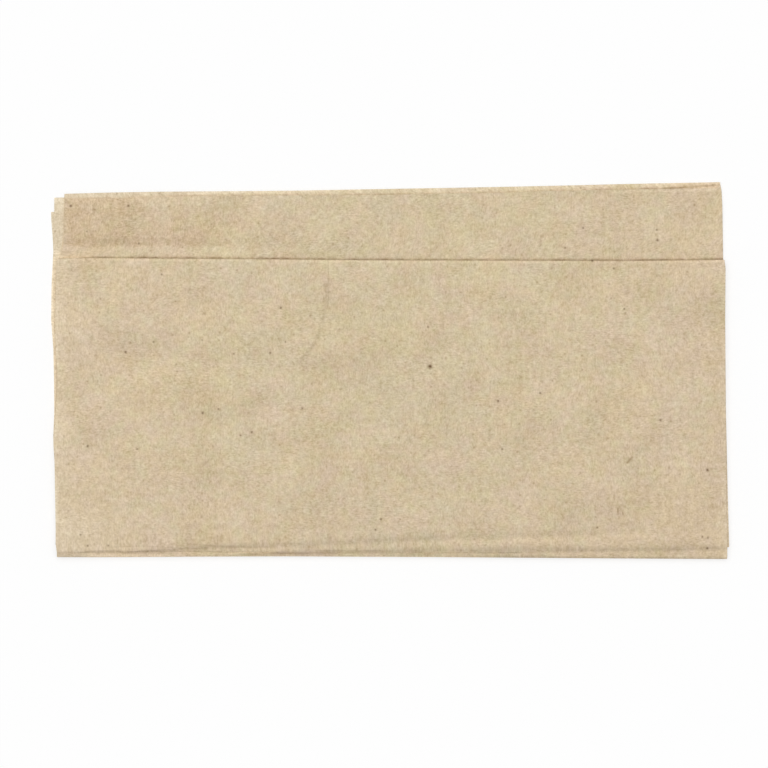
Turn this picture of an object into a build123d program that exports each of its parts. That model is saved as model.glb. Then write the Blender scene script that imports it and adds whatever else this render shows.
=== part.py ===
from build123d import *
from math import acos, degrees
import os

# A square paper napkin, folded and lying on a table: one creped sheet, one solid.
# +X runs along its long side, towards the upright fold. +Y runs from the bottom fold to
# the raw back edges, and +Z is up. The origin is on the table, under the middle of its box.
#
# The sheet is folded in half about an upright line, which makes a double run of paper,
# closed on the right. The double run is then folded in half about the front fold, and once
# more about the bottom fold. Seen from the side it goes like the wire of a paper clip:
#   run 0, leaves 1 and 2, lies on the table, from the raw back end to the bottom fold
#   run 3, leaves 7 and 8, shows on the front, from the bottom fold to the front fold
#   run 2, leaves 5 and 6, goes back down behind it, to the inner fold
#   run 1, leaves 3 and 4, goes up again and shows on the back strip

# Overall size of the folded napkin
overall_width = 167.0
overall_depth = 92.8

# Paper
leaf_thickness = 0.18
leaf_gap = 0.10

# Folds, as distances from the bottom fold
front_fold_height = 73.9
inner_fold_height = 3.4

# The lip beyond the inner fold: how deep the groove beside it lies under the front leaf,
# how far the lip rises again, and the radius of the bends between them
groove_depth = 0.42
lip_rise = 0.12
groove_radius = 0.70

# Upright fold on the right: how far it leans in from the box at the back, how far the two
# inner runs stand out past the outer ones, and where under the front fold they draw level
fold_inset_back = 2.1
inner_overhang = 0.65
shoulder_height = 1.8

# How round the upright fold is, as a share of half the thickness of the double run
fold_roundness = 0.9

# Raw left edges where the leaves turn round a fold, as insets from the left of the box
left_inset_bottom_fold = 1.5
left_inset_front_fold = 1.4
left_inset_inner_fold = 0.9

# How far the raw left edge of each leaf, counted from the table up, bows out of straight
left_edge_bow = {1: 0.3, 2: 0.15, 3: -0.15, 4: 0.3, 5: 0.15, 6: -0.45, 7: -0.35, 8: 0.15}

# Back left corners of the four leaves that end there, as insets from the left and the back
# of the box, and how far their back edges bow out between the corners
corner_inset_left = {1: 0.0, 2: 0.5, 3: 3.0, 4: 3.1}
corner_inset_back = {1: 7.2, 2: 3.7, 3: 2.7, 4: 4.2}
back_edge_bow = {1: 0.5, 2: 0.1, 3: 0.1, 4: 0.3}

# Back right corners, on the upright fold, where the two leaves of a run meet. The top leaf
# stays short of its neighbour and turns up to that corner only close to the fold
fold_corner_inset = {1: 0.0, 2: 0.0, 3: 0.15, 4: 0.15}
fold_corner_flat = 0.5
top_leaf_shortfall = 0.9
top_leaf_turn = 2.0

# How far raw stock and cutting shapes reach past the paper
reach = 10.0

# Which leaves lie where
leaves = range(1, 9)
ending_leaves = (1, 2, 3, 4)
inner_leaves = (3, 4, 5, 6)
top_ending_leaf = 4

# Worked out from the sizes above
leaf_pitch = leaf_thickness + leaf_gap
run_thickness = 2 * leaf_thickness + leaf_gap
run_pitch = 2 * leaf_pitch
left = -overall_width / 2
right = overall_width / 2
back = overall_depth / 2
bottom = -overall_depth / 2
front_fold_y = bottom + front_fold_height
inner_fold_y = bottom + inner_fold_height
tight_radius = run_pitch / 2
tight_reach = tight_radius + run_thickness / 2
lip_end_y = inner_fold_y - leaf_gap / 2
inner_turn_y = inner_fold_y + tight_reach + leaf_gap / 2
front_turn_y = front_fold_y - tight_reach - leaf_gap / 2
shoulder_y = front_fold_y - shoulder_height
low_y = bottom - reach
high_y = back + reach


def run_level(run):
    """Height of the middle of a double run above the table."""
    return run_thickness / 2 + run * run_pitch


def leaf_level(leaf):
    """Height of the plane half way between a leaf and the one under it."""
    return (leaf - 1) * leaf_pitch - leaf_gap / 2


def step_angle(height):
    """Angle of the two equal arcs that carry a run up or down by this height."""
    return degrees(acos(1 - height / (2 * groove_radius)))


def fold_x(y):
    """Place of the leaning upright fold of the outer runs at y."""
    lean = (fold_inset_back - inner_overhang) / (back - lip_end_y)
    return right - inner_overhang - lean * (y - lip_end_y)


# The line that the middle of the double run follows round its folds, drawn flat: its x is
# the napkin's Y, and its y the height above the table
lip_level = run_level(3) - groove_depth + lip_rise
lip_radius = (lip_level - run_level(0)) / 2
lip_fold_y = bottom + lip_radius + run_thickness / 2
down = step_angle(groove_depth)
up = step_angle(lip_rise)

with BuildLine() as fold_path:
    run_1 = Line((high_y, run_level(1)), (inner_fold_y + tight_reach, run_level(1)))
    inner_fold = JernArc(run_1 @ 1, run_1 % 1, tight_radius, -180)
    run_2 = Line(inner_fold @ 1, (front_fold_y - tight_reach, run_level(2)))
    front_fold = JernArc(run_2 @ 1, run_2 % 1, tight_radius, 180)
    run_3 = Line(front_fold @ 1, (inner_fold_y, run_level(3)))
    groove_side = JernArc(run_3 @ 1, run_3 % 1, groove_radius, down)
    groove_floor = JernArc(groove_side @ 1, groove_side % 1, groove_radius, -down)
    lip_side = JernArc(groove_floor @ 1, groove_floor % 1, groove_radius, -up)
    lip_brow = JernArc(lip_side @ 1, lip_side % 1, groove_radius, up)
    lip_top = Line(lip_brow @ 1, (lip_fold_y, lip_level))
    bottom_fold = JernArc(lip_top @ 1, lip_top % 1, lip_radius, 180)
    run_0 = Line(bottom_fold @ 1, (high_y, run_level(0)))


def right_side(leaf, top_y, inset=0):
    """Points up the right side of a leaf, along the upright fold or inset from it."""
    xs_and_ys = [(fold_x(low_y), low_y)]
    if leaf in inner_leaves:
        xs_and_ys += [
            (fold_x(lip_end_y), lip_end_y),
            (fold_x(lip_end_y) + inner_overhang, lip_end_y),
            (fold_x(shoulder_y) + inner_overhang, shoulder_y),
            (fold_x(front_turn_y), front_turn_y),
        ]
    xs_and_ys.append((fold_x(top_y), top_y))
    return [Vector(x - inset, y) for x, y in xs_and_ys]


def draw_back_edge(leaf, fold_corner):
    """Back edge of a leaf that ends there, from the upright fold to its raw corner."""
    edge = Line(fold_corner, fold_corner - Vector(fold_corner_flat, 0))
    if leaf == top_ending_leaf:
        edge = Line(edge @ 1, fold_corner - Vector(top_leaf_turn, top_leaf_shortfall))
    raw_corner = Vector(left + corner_inset_left[leaf], back - corner_inset_back[leaf])
    middle = (edge @ 1 + raw_corner) / 2 + Vector(0, back_edge_bow[leaf])
    ThreePointArc(edge @ 1, middle, raw_corner)
    return raw_corner


def draw_left_edge(leaf, top):
    """Raw left edge of a leaf, from its top point down past the bottom fold."""
    lip_end = Vector(left + left_inset_bottom_fold, lip_end_y)
    turn = lip_end
    if leaf in inner_leaves:
        turn = Vector(left + left_inset_inner_fold, inner_turn_y)
    middle = (top + turn) / 2 - Vector(left_edge_bow[leaf], 0)
    ThreePointArc(top, middle, turn)
    if leaf in inner_leaves:
        Polyline(turn, (turn.X, lip_end_y), lip_end)
    return Line(lip_end, (lip_end.X, low_y)) @ 1


def draw_leaf(leaf):
    """Plan outline of a leaf. It runs on past the folds, where the paper turns round."""
    if leaf in ending_leaves:
        side = Polyline(*right_side(leaf, back - fold_corner_inset[leaf]))
        top_left = draw_back_edge(leaf, side @ 1)
    else:
        top_left = Vector(left + left_inset_front_fold, front_turn_y)
        side = Polyline(*right_side(leaf, high_y))
        Polyline(side @ 1, (top_left.X, high_y), top_left)
    bottom_left = draw_left_edge(leaf, top_left)
    Line(bottom_left, side @ 0)


# The thin space inside the double run, open on the left and closed by the upright fold
with BuildPart() as inner_space:
    with BuildSketch(Plane.YZ):
        trace(fold_path.line, line_width=leaf_gap)
    extrude(amount=right + reach, both=True)
    for leaf in leaves:
        with BuildSketch(Plane.XY.offset(leaf_level(leaf))):
            with BuildLine():
                side = Polyline(*right_side(leaf, high_y + reach, inset=leaf_thickness))
                far_x = right + 2 * reach
                Polyline(side @ 1, (far_x, high_y + reach), (far_x, low_y), side @ 0)
            make_face()
        extrude(amount=leaf_pitch, mode=Mode.SUBTRACT)

# The napkin: the double run at its full thickness, with each leaf cut to its own outline,
# the upright fold rounded along its whole way round the other folds, and the space taken out
with BuildPart() as napkin:
    with BuildSketch(Plane.YZ):
        trace(fold_path.line, line_width=run_thickness)
    extrude(amount=right + reach, both=True)
    for leaf in leaves:
        with BuildSketch(Plane.XY.offset(leaf_level(leaf))):
            Rectangle(overall_width + 4 * reach, overall_depth + 4 * reach)
            with BuildLine():
                draw_leaf(leaf)
            make_face(mode=Mode.SUBTRACT)
        extrude(amount=leaf_pitch, mode=Mode.SUBTRACT)
    fold_faces = napkin.faces().filter_by(lambda face: face.normal_at().X > 0.8)
    fold_edges = fold_faces.edges().filter_by(Axis.Z, reverse=True)
    fillet(fold_edges, fold_roundness * run_thickness / 2)
    add(inner_space.part, mode=Mode.SUBTRACT)

napkin.part.label = "napkin"

os.makedirs("parts", exist_ok=True)
export_step(napkin.part, "parts/napkin.step")
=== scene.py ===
from math import pi, radians

import bpy
import numpy as np
from bpy.props import FloatProperty, FloatVectorProperty, PointerProperty
from bpy.types import Operator, Panel, PropertyGroup
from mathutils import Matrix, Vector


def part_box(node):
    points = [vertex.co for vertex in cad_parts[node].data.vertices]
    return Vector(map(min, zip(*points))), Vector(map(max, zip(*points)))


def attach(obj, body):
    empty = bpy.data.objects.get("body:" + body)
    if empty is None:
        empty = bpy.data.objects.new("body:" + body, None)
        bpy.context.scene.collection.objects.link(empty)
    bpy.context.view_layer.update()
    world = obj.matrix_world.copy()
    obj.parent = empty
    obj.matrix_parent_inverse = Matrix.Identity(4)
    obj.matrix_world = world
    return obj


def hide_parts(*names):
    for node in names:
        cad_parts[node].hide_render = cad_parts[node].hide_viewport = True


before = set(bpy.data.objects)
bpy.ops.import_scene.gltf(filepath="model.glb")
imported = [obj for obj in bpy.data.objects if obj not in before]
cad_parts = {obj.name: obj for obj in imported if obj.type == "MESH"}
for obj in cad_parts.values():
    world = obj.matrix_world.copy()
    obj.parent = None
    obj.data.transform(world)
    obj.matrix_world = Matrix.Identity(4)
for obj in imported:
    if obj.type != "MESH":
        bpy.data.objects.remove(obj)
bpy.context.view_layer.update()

bl_info = {
    "name": "Folded Paper Napkin",
    "version": (1, 0, 0),
    "blender": (4, 5, 0),
    "location": "3D View > Sidebar > Napkin",
    "description": "Makes a folded sheet of creped brown tissue round its packed solid",
    "category": "Object",
}

MM = 0.001
NODE = "napkin"

# Lowest and highest corners of the folded napkin's box, from the part
low_corner, high_corner = (np.array(corner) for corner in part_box(NODE))

# The photograph is 768 pixels square. One pixel of it is this long on the napkin, and
# this pixel is the middle of the napkin's box
IMAGE_SIDE = 768
PIXEL = 0.2466 * MM
MIDDLE_PIXEL = (390.4, 370.75)


def from_photo(x, y):
    """Place on the napkin, in metres, of a pixel of the photograph."""
    return np.array([(x - MIDDLE_PIXEL[0]) * PIXEL, (MIDDLE_PIXEL[1] - y) * PIXEL])


def to_photo(x, y):
    """Pixel of the photograph, across and down, of a place on the napkin."""
    return x / PIXEL + MIDDLE_PIXEL[0], MIDDLE_PIXEL[1] - y / PIXEL


def length_property(name, description, default):
    """A length that the panel shows to a hundredth of a millimetre."""
    return FloatProperty(
        name=name, description=description, default=default, unit="LENGTH", precision=5
    )


def strength_property(name, description, default):
    """A factor that isn't below 0."""
    return FloatProperty(name=name, description=description, default=default, min=0.0)


def colour_property(name, description, default):
    """A colour in linear light."""
    return FloatVectorProperty(
        name=name, description=description, default=default, subtype="COLOR", size=3
    )


class NapkinSheetSizes(PropertyGroup):
    """Sizes of the folded sheet."""

    paper_thickness: length_property("Paper thickness", "Thickness of the creped tissue", 0.18 * MM)
    leaf_gap: length_property(
        "Gap between leaves", "Air between two leaves that lie on each other", 0.10 * MM
    )
    front_fold_height: length_property(
        "Front fold height", "From the bottom fold to the front leaf's upper fold", 73.9 * MM
    )
    inner_fold_height: length_property(
        "Inner fold height", "From the bottom fold to the fold inside it", 2.9 * MM
    )
    groove_depth: length_property(
        "Groove depth", "How deep the groove beside the lip lies under the front leaf", 0.42 * MM
    )
    lip_rise: length_property("Lip rise", "How far the lip stands above the groove", 0.12 * MM)
    groove_radius: length_property(
        "Groove radius", "Radius of the bends in and out of the groove", 0.70 * MM
    )
    relief: strength_property("Relief", "Strength of the bulges and hollows", 1.0)


class NapkinPaperLook(PropertyGroup):
    """Colours and texture of the tissue."""

    paper: colour_property(
        "Paper", "Colour of the greener pulp, with many leaves on each other", (0.624, 0.526, 0.369)
    )
    pink_pulp: colour_property("Pink pulp", "Colour of the pinker pulp", (0.643, 0.508, 0.372))
    yellow_pulp: colour_property(
        "Yellow pulp", "Tone that yellows the pulp in blotches", (1.0, 1.0, 0.875)
    )
    # Painted shade with a browner tone on the strip, and a warmer tone on the lowest slivers
    shade_and_warm_tone: colour_property("Warm tone", "Tone of the browner patch on the strip", (0.95, 0.91, 0.87))
    thin_paper: colour_property(
        "Thin paper", "Colour of one leaf alone on a white table", (0.767, 0.658, 0.485)
    )
    # Colour of the painted shade in creases and seams
    shadow_tone: colour_property(
        "Shadow tone", "Tone of the paper deep in a crease or a seam", (0.46, 0.38, 0.30)
    )
    fibre: colour_property(
        "Fibre", "Colour of the brown fibres and flecks in the pulp", (0.27, 0.17, 0.08)
    )
    speck: colour_property("Speck", "Colour of the dark specks in the pulp", (0.092, 0.036, 0.004))
    texture: strength_property("Texture", "Strength of the pulp's light and dark", 1.0)
    texture_gain: FloatVectorProperty(
        name="Texture by colour",
        description="How strongly the light and dark shows in red, green and blue",
        default=(0.86, 0.97, 1.20),
        size=3,
    )
    bump: length_property("Bump", "Height of the crepe's small bumps", 0.06 * MM)


class NapkinStageLook(PropertyGroup):
    """Floor, lights and camera."""

    lens: FloatProperty(
        name="Lens",
        description="Focal length of the camera, in millimetres",
        default=300.0,
        min=10.0,
    )
    floor: colour_property("Floor", "Colour of the floor", (0.97, 0.97, 0.97))
    floor_whiteness: FloatProperty(
        name="Floor whiteness",
        description="Share of plain white in the floor that the camera sees",
        default=0.65,
        min=0.0,
        max=1.0,
    )
    floor_side: length_property("Floor side", "Side of the square floor", 4.0)
    key_strength: strength_property("Key light", "Strength of the soft light from above", 1.8)
    key_softness: FloatProperty(
        name="Key softness",
        description="Angle under which the soft light shines, seen from the napkin",
        default=radians(70),
        subtype="ANGLE",
    )
    fill: strength_property("Fill", "Strength of the even light from all round", 0.45)


# Rows of the grid along each stretch of the section, and columns across each half of the
# sheet and round the upright fold
ROWS = {
    "run_0": 44,
    "bottom_fold": 12,
    "lip": 3,
    "groove": 3,
    "over_groove": 22,
    "run_3": 70,
    "tight_fold": 8,
    "run_2": 8,
    "run_1": 8,
    "strip": 40,
}
COLUMNS_OUTER = 178
COLUMNS_FOLD = 8
COLUMNS_INNER = 14

# How far the fine rows go on over the groove, and how far the strip's rows start under the
# front fold
FINE_ROWS_LENGTH = 5.2 * MM
STRIP_OVERLAP = 1.2 * MM

# How much closer together the strip's rows get towards the raw edge
STRIP_CROWDING = 1.5

# Which leaf each run's outer and inner half makes, counted from the table
OUTER_LEAF = np.array([1, 4, 5, 8])
INNER_LEAF = np.array([2, 3, 6, 7])

# Leaves that show: the front one, the strip's, the one that makes a margin behind the strip,
# and those up to the last one here, as slivers on the left
FRONT_LEAF = 8
STRIP_LEAF = 4
MARGIN_LEAF = 3
SLIVER_LEAF = 2

# Height, counted in runs, below which the paper of the front fold faces down
UNDER_NOSE = 2.5

# Raw left edge of each leaf, as pixels of the photograph from its upper end to its lower one
LEFT_EDGES = {
    1: (
        (51.1, 212), (51.1, 217), (52.6, 236), (53.4, 250), (51.6, 285), (51.2, 320), (53.4, 350),
        (54.1, 385), (54.3, 412), (53.2, 440), (55.0, 470), (55.6, 500), (56.4, 546), (57.2, 552),
    ),
    2: (
        (54.4, 197), (54.3, 212), (53.6, 232), (53.6, 300), (54.9, 385), (55.4, 490), (57.2, 552),
    ),
    3: ((64.5, 193), (63.8, 235), (60.5, 257), (57.0, 300), (55.9, 545)),
    4: ((65.4, 199), (64.4, 225), (63.2, 248), (60.0, 257), (57.5, 300), (55.9, 545)),
    5: ((57.6, 261), (57.8, 330), (55.9, 545)),
    6: ((56.8, 261), (57.2, 330), (55.9, 545)),
    7: (
        (56.8, 261), (55.8, 300), (57.4, 385), (54.6, 440), (55.6, 500), (56.4, 546), (57.2, 552),
    ),
    8: (
        (57.6, 261), (56.0, 300), (55.6, 335), (58.0, 382), (54.6, 436), (55.4, 490), (56.4, 546),
        (57.2, 552),
    ),
}

# Upright fold of each run, from its upper end to its lower one
RIGHT_FOLDS = {
    0: ((720.0, 183), (727.0, 550)),
    1: (
        (720.0, 184), (721.4, 191), (722.2, 206), (722.9, 255), (725.2, 400), (727.4, 500),
        (728.9, 544),
    ),
    2: ((724.3, 261), (724.7, 300), (725.4, 400), (727.6, 500), (728.9, 544)),
    3: (
        (724.3, 261), (725.2, 267), (724.8, 320), (725.5, 410), (726.1, 510), (727.0, 549),
        (727.0, 557),
    ),
}

# Raw back edge of each leaf that ends there, from the left to the right
BACK_EDGES = {
    1: ((51, 212), (385, 195), (721, 182.4)),
    2: ((54, 197.7), (385, 189.5), (721, 182.1)),
    3: (
        (64, 193.9), (100, 192.8), (140, 191.9), (240, 191.2), (290, 190.8), (340, 189.8),
        (440, 188.1), (540, 186.2), (640, 183.7), (721, 182.2),
    ),
    4: (
        (65, 199.3), (125, 198.4), (200, 195.9), (380, 195.2), (440, 193.6), (500, 193.0),
        (540, 191.3), (590, 190.3), (640, 189.5), (682, 188.6), (717, 188.3), (721, 184.0),
    ),
}

# Lines that the folds follow across the sheet, from the left to the right. The bottom fold
# starts to turn down at the brow, and the front leaf drops into the groove at the drop
BOTTOM_FOLD = (
    (56, 556.8), (100, 556.9), (190, 556.4), (290, 556.2), (440, 557.0), (590, 558.1),
    (728, 558.9),
)
BROW = (
    (56, 555.3), (170, 555.0), (240, 553.2), (380, 553.0), (500, 554.0), (640, 555.4),
    (728, 555.9),
)
DROP = (
    (56, 552.0), (120, 551.4), (180, 550.6), (240, 551.0), (300, 551.6), (420, 550.2),
    (600, 549.2), (728, 547.8),
)
FRONT_FOLD = (
    (56, 258.4), (96, 258.0), (156, 258.5), (220, 258.9), (300, 259.6), (380, 260.3),
    (460, 260.5), (540, 260.7), (636, 260.9), (724, 259.8),
)

# Half the length of the drop: pixels across, and pixels down
DROP_HALF_LENGTH = ((56, 1.6), (240, 1.6), (480, 3.2), (728, 3.2))


def along_x(pixels, x):
    """Y at x, in metres, of a line of pixels."""
    knots = np.array([from_photo(*pixel) for pixel in pixels])
    return np.interp(x, knots[:, 0], knots[:, 1])


def along_y(pixels, y):
    """X at y, in metres, of a line of pixels that goes down the photograph."""
    knots = np.array([from_photo(*pixel) for pixel in reversed(pixels)])
    return np.interp(y, knots[:, 1], knots[:, 0])


def value_at(points, pixel):
    """Value at a pixel, straight between points that are each a pixel and the value there."""
    places, values = np.array(points).T
    return np.interp(pixel, places, values)


def smooth_step(low, high, value):
    """0 below low and 1 above high, with a smooth cubic between them."""
    share = np.clip((value - low) / (high - low), 0, 1)
    return share * share * (3 - 2 * share)


def ease(pixel, start, end):
    """Value at a pixel, which goes by a smooth step from the one at start to the one at end.

    Start and end are each a pixel and the value there.
    """
    (first, first_value), (last, last_value) = start, end
    return first_value + (last_value - first_value) * smooth_step(first, last, pixel)


def line_rows(start, end, rows, crowding=1.0):
    """Rows along a straight run: places, left normals and lengths, even or crowded to its end.

    A point is start + (end - start) * (1 - (1 - f) ** crowding), for f from 0 to 1.
    """
    share = 1 - (1 - np.linspace(0, 1, rows + 1)) ** crowding
    start, end = np.array(start), np.array(end)
    way = end - start
    length = np.hypot(*way)
    normal = np.array([-way[1], way[0]]) / length
    points = start + share[:, None] * way
    return points, np.tile(normal, (rows + 1, 1)), share * length


def arc_rows(start, heading, radius, turn, rows):
    """Rows round a fold: an arc that leaves start along heading and turns by turn radians.

    The centre is start plus radius times the side that the arc turns to, and a point is the
    centre plus radius times the unit vector at the swept angle.
    """
    start, heading = np.array(start), np.array(heading)
    left = np.array([-heading[1], heading[0]])
    side = np.sign(turn)
    centre = start + side * radius * left
    swept = np.linspace(0, turn, rows + 1)
    out = -side * left
    turned_x = out[0] * np.cos(swept) - out[1] * np.sin(swept)
    turned_y = out[0] * np.sin(swept) + out[1] * np.cos(swept)
    outward = np.stack([turned_x, turned_y], axis=1)
    return centre + radius * outward, -side * outward, np.abs(swept) * radius


class FoldedSection:
    """Section of the folded double run: its middle line, followed round its folds.

    It lies in the upright plane of Y and Z, and its rows go from the raw back end of the
    lowest run to that of the strip, like the wire of a paper clip.
    """

    def __init__(self, sizes):
        self.sizes = sizes
        self.thickness = sizes.paper_thickness
        self.pitch = sizes.paper_thickness + sizes.leaf_gap
        self.run_thickness = 2 * sizes.paper_thickness + sizes.leaf_gap
        self.back = high_corner[1]
        self.bottom = low_corner[1]
        self.front_fold = self.bottom + sizes.front_fold_height
        self.inner_fold = self.bottom + sizes.inner_fold_height
        self.reach = self.pitch + self.run_thickness / 2
        self.brow = self.bottom + self.lip_radius() + self.run_thickness / 2
        self.drop_length = 2 * sizes.groove_radius * np.sin(self.step_turn(sizes.groove_depth))
        self.points, self.normals, self.lengths, self.runs = [], [], [], []
        self.follow_path()

    def level(self, run):
        """Height of the middle of a run, counted from the table."""
        return self.run_thickness / 2 + run * 2 * self.pitch

    def lip_level(self):
        """Height of the middle of the front run on the lip."""
        return self.level(3) - self.sizes.groove_depth + self.sizes.lip_rise

    def lip_radius(self):
        """Radius of the bottom fold, from the lip down to the lowest run."""
        return (self.lip_level() - self.level(0)) / 2

    def step_turn(self, height):
        """Angle of the two equal arcs that carry the run up or down by height."""
        return np.arccos(1 - height / (2 * self.sizes.groove_radius))

    def add(self, rows, run):
        """Adds rows to the path. The first is left out where it repeats the last one."""
        points, normals, lengths = rows
        skip = 1 if self.points else 0
        before = self.lengths[-1][-1] if self.points else 0.0
        self.points.append(points[skip:])
        self.normals.append(normals[skip:])
        self.lengths.append(before + lengths[skip:])
        self.runs.append(np.full(len(points) - skip, run))
        self.end = points[-1]

    def follow_path(self):
        """Walks the paper clip: run 0, bottom fold, lip, groove, run 3, fold, run 2, run 1."""
        sizes, level, radius = self.sizes, self.level, self.sizes.groove_radius
        dip, rise = self.step_turn(sizes.lip_rise), self.step_turn(sizes.groove_depth)
        lip_end = self.inner_fold - 2 * radius * (np.sin(dip) + np.sin(rise))
        fine_end = self.inner_fold + FINE_ROWS_LENGTH
        front_end = self.front_fold - self.reach
        inner_end = self.inner_fold + self.reach
        strip_start = self.front_fold - STRIP_OVERLAP
        forward, backward = (1.0, 0.0), (-1.0, 0.0)
        down, up = (np.cos(dip), -np.sin(dip)), (np.cos(rise), np.sin(rise))

        self.add(line_rows((self.back, level(0)), (self.brow, level(0)), ROWS["run_0"]), 0)
        self.add(arc_rows(self.end, backward, self.lip_radius(), -pi, ROWS["bottom_fold"]), 3)
        self.add(line_rows(self.end, (lip_end, self.lip_level()), ROWS["lip"]), 3)
        for heading, turn in ((forward, -dip), (down, dip), (forward, rise), (up, -rise)):
            self.add(arc_rows(self.end, heading, radius, turn, ROWS["groove"]), 3)
        self.add(line_rows(self.end, (fine_end, level(3)), ROWS["over_groove"]), 3)
        self.add(line_rows(self.end, (front_end, level(3)), ROWS["run_3"]), 3)
        self.add(arc_rows(self.end, forward, self.pitch, -pi, ROWS["tight_fold"]), 3)
        self.add(line_rows(self.end, (inner_end, level(2)), ROWS["run_2"]), 2)
        self.add(arc_rows(self.end, backward, self.pitch, pi, ROWS["tight_fold"]), 1)
        self.add(line_rows(self.end, (strip_start, level(1)), ROWS["run_1"]), 1)
        self.add(line_rows(self.end, (self.back, level(1)), ROWS["strip"], STRIP_CROWDING), 1)

        self.points = np.concatenate(self.points)
        self.normals = np.concatenate(self.normals)
        self.lengths = np.concatenate(self.lengths)
        self.runs = np.concatenate(self.runs)


def moved_folds(section, run, x, y, is_outer):
    """Y at each place, moved so that the folds and raw edges follow their lines across x.

    Between two lines the move is linear in y. A run that ends at the back moves from the
    front fold's and bottom fold's blend at its start to the raw edge of its leaf.
    """
    bottom_move = along_x(BOTTOM_FOLD, x) - section.bottom
    front_move = along_x(FRONT_FOLD, x) - section.front_fold
    height = section.front_fold - section.bottom

    def blended(unmoved):
        """Y with the blend of the two folds' moves, by its height between them."""
        return unmoved + bottom_move + (front_move - bottom_move) * (unmoved - section.bottom) / height

    drop_middle = section.inner_fold - section.drop_length / 2
    half_length = value_at(DROP_HALF_LENGTH, to_photo(x, y)[0]) * PIXEL
    free_start = section.inner_fold + FINE_ROWS_LENGTH / 2
    knots = (
        (section.bottom, section.bottom + bottom_move),
        (section.brow, along_x(BROW, x)),
        (drop_middle - section.drop_length / 2, along_x(DROP, x) - half_length),
        (drop_middle + section.drop_length / 2, along_x(DROP, x) + half_length),
        (free_start, blended(free_start)),
    )
    front = blended(y)
    for (low, low_place), (high, high_place) in zip(knots[:-1], knots[1:]):
        share = (y - low) / (high - low)
        within = (share >= 0) & (share < 1)
        front = np.where(within, low_place + (high_place - low_place) * share, front)
    moved = np.where(run == 3, front, blended(y))

    for ending_run, lowest in ((0, section.brow), (1, section.inner_fold + section.reach)):
        start = blended(lowest)
        outer_edge = along_x(BACK_EDGES[OUTER_LEAF[ending_run]], x)
        inner_edge = along_x(BACK_EDGES[INNER_LEAF[ending_run]], x)
        edge = np.where(is_outer, outer_edge, inner_edge)
        share = (y - lowest) / (section.back - lowest)
        placed = start + (edge - start) * share
        moved = np.where((run == ending_run) & (y > lowest), placed, moved)
    return moved


def sheet_grid(section):
    """The folded sheet's middle surface as a function of two parameters.

    Down the rows it follows the section's path, and across the columns it runs from the raw
    left edge of one half to the upright fold, round it, and back to the other half's raw edge.
    A point is the path's point plus its normal times an offset, which is plus half a pitch on
    the first half, falls to minus half a pitch as a cosine round the upright fold, and stays so
    on the second. The folds' places across the sheet then move to their lines.
    """
    y, z = section.points[:, :1], section.points[:, 1:]
    run = section.runs[:, None]
    half = section.pitch / 2
    folds = [along_y(RIGHT_FOLDS[number], y) for number in range(4)]
    fold_middle = np.choose(run, folds) - half - section.thickness / 2
    left = []
    for leaves, outer_half in ((OUTER_LEAF, True), (INNER_LEAF, False)):
        edge = np.choose(run, [along_y(LEFT_EDGES[leaf], y) for leaf in leaves])
        placed = moved_folds(section, run, edge, y, outer_half)
        left.append(np.choose(run, [along_y(LEFT_EDGES[leaf], placed) for leaf in leaves]))

    across = np.linspace(0, 1, COLUMNS_OUTER + 1)[None, :]
    back_across = np.linspace(1, 0, COLUMNS_INNER + 1)[None, :]
    turn = np.linspace(0, pi, COLUMNS_FOLD + 1)[None, 1:-1]
    x = np.concatenate(
        [
            left[0] + (fold_middle - left[0]) * across,
            fold_middle + half * np.sin(turn),
            left[1] + (fold_middle - left[1]) * back_across,
        ],
        axis=1,
    )
    sides = (np.ones(across.size), np.cos(turn[0]), -np.ones(back_across.size))
    offset = half * np.concatenate(sides)[None, :]
    is_outer = np.arange(x.shape[1])[None, :] < across.size + turn.size // 2
    folded = y + offset * section.normals[:, :1]
    height = z + offset * section.normals[:, 1:]
    return x, moved_folds(section, run, x, folded, is_outer), height, is_outer


def bell(away, width):
    """A Gauss bell: 1 on the line, and about a third of that at width from it."""
    return np.exp(-((away / width) ** 2))


# Low waves of the front leaf and of the strip. Each is a height in millimetres, the radians
# for a pixel across, for a pixel down and at the start, and then the strength of its sway and
# the sway's own radians for a pixel across and down
FRONT_WAVES = (
    (0.030, 1 / 31, 0, 0.5, 0.4, 0, 1 / 23),
    (0.026, 0, 1 / 19, 1.1, 0.7, 1 / 47, 0),
    (0.016, 1 / 11, 1 / 17, 0, 1.0, 1 / 29, 0),
    (0.012, 1 / 9, -1 / 8, 2.0, 0, 0, 0),
)
STRIP_WAVES = (
    (0.03, 1 / 23, 0, 0, 1.0, 0, 1 / 15),
    (0.02, 1 / 8, 0, 1.0, 0, 0, 0),
)

# Hollow that wanders off the lip: its line, its depth in millimetres, its half width in pixels
# and where it starts, each by pixels across
LIP_HOLLOW = (
    (140, 552), (200, 549.8), (240, 547.8), (300, 546.2), (340, 543.8), (420, 540.5),
    (580, 536.2), (712, 532),
)
LIP_HOLLOW_DEPTH = ((380, 0.20), (620, 0.08))
LIP_HOLLOW_WIDTH = ((300, 2.4), (600, 3.8))
LIP_HOLLOW_START = ((130, 0), (230, 1))

# Broad hollow where the curved crease ends: its line, depth, half width and both ends
BROAD_HOLLOW = ((100, 438), (170, 427), (210, 417), (250, 407), (285, 390))
BROAD_HOLLOW_DEPTH = 0.12
BROAD_HOLLOW_WIDTH = 11.0
BROAD_HOLLOW_START = ((70, 0), (130, 1))
BROAD_HOLLOW_END = ((270, 1), (310, 0))

# Hollow of the strip: its lowest line, its depth in millimetres by pixels across, and the
# pixels over which it falls off to the raw edge and to the front fold
STRIP_HOLLOW = ((60, 246.5), (180, 246.0), (260, 247.5), (330, 249))
STRIP_HOLLOW_DEPTH = ((190, 0.52), (330, 0))
FALL_TO_EDGE = 22.0
FALL_TO_FOLD = 4.5
STRIP_WAVES_START = ((0, 0), (12, 1))

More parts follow.
